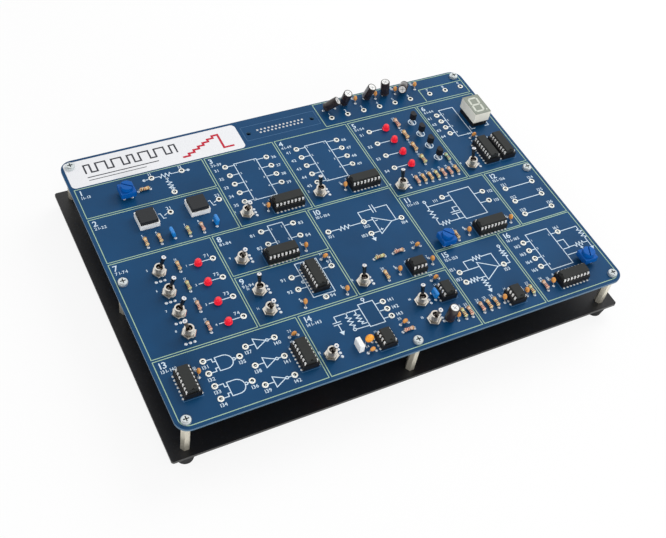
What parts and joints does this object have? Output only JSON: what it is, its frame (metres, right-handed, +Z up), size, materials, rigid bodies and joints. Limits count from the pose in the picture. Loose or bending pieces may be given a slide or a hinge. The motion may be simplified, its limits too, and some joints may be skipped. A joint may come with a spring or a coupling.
{
  "type": "digital electronics training module",
  "caption": "Electronics training board with test jacks, socketed chips, toggle switches, push buttons, trimmers and a digit display, on posts over a base plate with feet.",
  "frame": {"origin": "under the middle of the module, on the surface that its feet stand on", "axes": "+X along the long side to the right, +Y to the back edge with the connector, +Z up"},
  "size_m": [0.3048, 0.2116, 0.0518],
  "materials": {
    "board_mask": "glossy blue solder mask over glass fibre",
    "base_black": "glossy black sheet",
    "foot_rubber": "matt black rubber",
    "nickel": "bright nickel plate",
    "screw_zinc": "white zinc plate",
    "jack_cream": "pale tinned metal",
    "switch_case": "dark red moulding",
    "tinned": "tinned copper",
    "white_plastic": "white moulding",
    "spring_steel": "spring steel",
    "trimmer_blue": "blue moulding",
    "socket_black": "black moulding",
    "package_black": "matt moulding compound",
    "display_grey": "pale moulding with a warm grey face",
    "led_red": "clear red resin",
    "resistor_beige": "beige lacquer with colour bands",
    "can_sleeve": "black sleeve over an aluminium can",
    "ceramic_tan": "tan dipped resin",
    "capacitor_blue": "blue dipped resin",
    "disc_orange": "orange dipped resin",
    "tin_plate": "tin plate",
    "gold": "gold flash",
    "lever_chrome": "dark bright metal with a pale tip",
    "cap_charcoal": "charcoal moulding"
  },
  "bodies": {
    "module": {"circuit_board": "board_mask", "base_plate": "base_black", "rubber_feet": "foot_rubber", "standoffs": "nickel", "board_screws": "screw_zinc", "base_screws": "screw_zinc", "test_jacks": "jack_cream", "toggle_bushings": "nickel", "toggle_nuts": "nickel", "toggle_housings": "switch_case", "toggle_terminals": "tinned", "button_cases": "white_plastic", "button_domes": "spring_steel", "button_pins": "tinned", "trimmer_bodies": "trimmer_blue", "trimmer_pins": "tinned", "chip_sockets": "socket_black", "socket_contacts": "tinned", "chip_bodies": "package_black", "chip_leads": "tinned", "display_socket": "socket_black", "display_body": "display_grey", "display_pins": "tinned", "led_lenses": "led_red", "led_leads": "tinned", "transistor_bodies": "package_black", "transistor_leads": "tinned", "resistor_bodies": "resistor_beige", "resistor_leads": "tinned", "electrolytic_cans": "can_sleeve", "ceramic_capacitors": "ceramic_tan", "blue_capacitors": "capacitor_blue", "film_capacitor": "white_plastic", "disc_capacitor": "disc_orange", "capacitor_leads": "tinned", "connector_shell": "tin_plate", "connector_insulator": "socket_black", "connector_contacts": "gold", "connector_jackscrews": "screw_zinc"},
    "toggle_lever_1": {"toggle_lever_1": "lever_chrome"},
    "toggle_lever_2": {"toggle_lever_2": "lever_chrome"},
    "toggle_lever_3": {"toggle_lever_3": "lever_chrome"},
    "toggle_lever_4": {"toggle_lever_4": "lever_chrome"},
    "toggle_lever_5": {"toggle_lever_5": "lever_chrome"},
    "toggle_lever_6": {"toggle_lever_6": "lever_chrome"},
    "toggle_lever_7": {"toggle_lever_7": "lever_chrome"},
    "toggle_lever_8": {"toggle_lever_8": "lever_chrome"},
    "toggle_lever_9": {"toggle_lever_9": "lever_chrome"},
    "toggle_lever_10": {"toggle_lever_10": "lever_chrome"},
    "toggle_lever_11": {"toggle_lever_11": "lever_chrome"},
    "toggle_lever_12": {"toggle_lever_12": "lever_chrome"},
    "toggle_lever_13": {"toggle_lever_13": "lever_chrome"},
    "toggle_lever_14": {"toggle_lever_14": "lever_chrome"},
    "toggle_lever_15": {"toggle_lever_15": "lever_chrome"},
    "button_cap_1": {"button_cap_1": "cap_charcoal"},
    "button_cap_2": {"button_cap_2": "cap_charcoal"},
    "trimmer_knob_1": {"trimmer_knob_1": "trimmer_blue"},
    "trimmer_knob_2": {"trimmer_knob_2": "trimmer_blue"},
    "trimmer_knob_3": {"trimmer_knob_3": "trimmer_blue"}
  },
  "joints": [
    {"name": "toggle_1_throw", "type": "hinge", "parent": "module", "child": "toggle_lever_1", "pos_m": [-0.0536, 0.025, 0.0411], "axis": [-1, 0, 0], "range_deg": [0, 29.6]},
    {"name": "toggle_2_throw", "type": "hinge", "parent": "module", "child": "toggle_lever_2", "pos_m": [-0.0024, 0.0257, 0.0411], "axis": [1, 0, 0], "range_deg": [0, 29.6]},
    {"name": "toggle_3_throw", "type": "hinge", "parent": "module", "child": "toggle_lever_3", "pos_m": [0.0512, 0.0134, 0.0411], "axis": [1, 0, 0], "range_deg": [0, 29.6]},
    {"name": "toggle_4_throw", "type": "hinge", "parent": "module", "child": "toggle_lever_4", "pos_m": [0.1068, 0.0151, 0.0411], "axis": [1, 0, 0], "range_deg": [0, 29.6]},
    {"name": "toggle_5_throw", "type": "hinge", "parent": "module", "child": "toggle_lever_5", "pos_m": [-0.1204, -0.0005, 0.0411], "axis": [0, -1, 0], "range_deg": [0, 29.6]},
    {"name": "toggle_6_throw", "type": "hinge", "parent": "module", "child": "toggle_lever_6", "pos_m": [-0.1204, -0.0167, 0.0411], "axis": [0, -1, 0], "range_deg": [0, 29.6]},
    {"name": "toggle_7_throw", "type": "hinge", "parent": "module", "child": "toggle_lever_7", "pos_m": [-0.1204, -0.0324, 0.0411], "axis": [0, -1, 0], "range_deg": [0, 29.6]},
    {"name": "toggle_8_throw", "type": "hinge", "parent": "module", "child": "toggle_lever_8", "pos_m": [-0.1204, -0.0474, 0.0411], "axis": [0, 1, 0], "range_deg": [0, 29.6]},
    {"name": "toggle_9_throw", "type": "hinge", "parent": "module", "child": "toggle_lever_9", "pos_m": [-0.0714, -0.0086, 0.0411], "axis": [-1, 0, 0], "range_deg": [0, 29.6]},
    {"name": "toggle_10_throw", "type": "hinge", "parent": "module", "child": "toggle_lever_10", "pos_m": [-0.0712, -0.0338, 0.0411], "axis": [1, 0, 0], "range_deg": [0, 29.6]},
    {"name": "toggle_11_throw", "type": "hinge", "parent": "module", "child": "toggle_lever_11", "pos_m": [-0.0714, -0.0491, 0.0411], "axis": [-1, 0, 0], "range_deg": [0, 29.6]},
    {"name": "toggle_12_throw", "type": "hinge", "parent": "module", "child": "toggle_lever_12", "pos_m": [-0.0102, -0.0495, 0.0411], "axis": [1, 0, 0], "range_deg": [0, 29.6]},
    {"name": "toggle_13_throw", "type": "hinge", "parent": "module", "child": "toggle_lever_13", "pos_m": [-0.0519, -0.0901, 0.0411], "axis": [-1, 0, 0], "range_deg": [0, 29.6]},
    {"name": "toggle_14_throw", "type": "hinge", "parent": "module", "child": "toggle_lever_14", "pos_m": [0.0157, -0.075, 0.0411], "axis": [1, 0, 0], "range_deg": [0, 29.6]},
    {"name": "toggle_15_throw", "type": "hinge", "parent": "module", "child": "toggle_lever_15", "pos_m": [0.0162, -0.0896, 0.0411], "axis": [-1, 0, 0], "range_deg": [0, 29.6]},
    {"name": "button_1_press", "type": "slide", "parent": "module", "child": "button_cap_1", "axis": [0, 0, -1], "range_m": [0, 0.0005], "stiffness_N_per_m": 2000, "springref_m": -0.0005},
    {"name": "button_2_press", "type": "slide", "parent": "module", "child": "button_cap_2", "axis": [0, 0, -1], "range_m": [0, 0.0005], "stiffness_N_per_m": 2000, "springref_m": -0.0005},
    {"name": "trimmer_1_turn", "type": "hinge", "parent": "module", "child": "trimmer_knob_1", "pos_m": [-0.1172, 0.0649, 0.0443], "axis": [0, 0, 1], "range_deg": [-120, 120]},
    {"name": "trimmer_2_turn", "type": "hinge", "parent": "module", "child": "trimmer_knob_2", "pos_m": [0.0543, -0.0387, 0.0443], "axis": [0, 0, 1], "range_deg": [-120, 120]},
    {"name": "trimmer_3_turn", "type": "hinge", "parent": "module", "child": "trimmer_knob_3", "pos_m": [0.1322, -0.0832, 0.0443], "axis": [0, 0, 1], "range_deg": [-120, 120]}
  ]
}
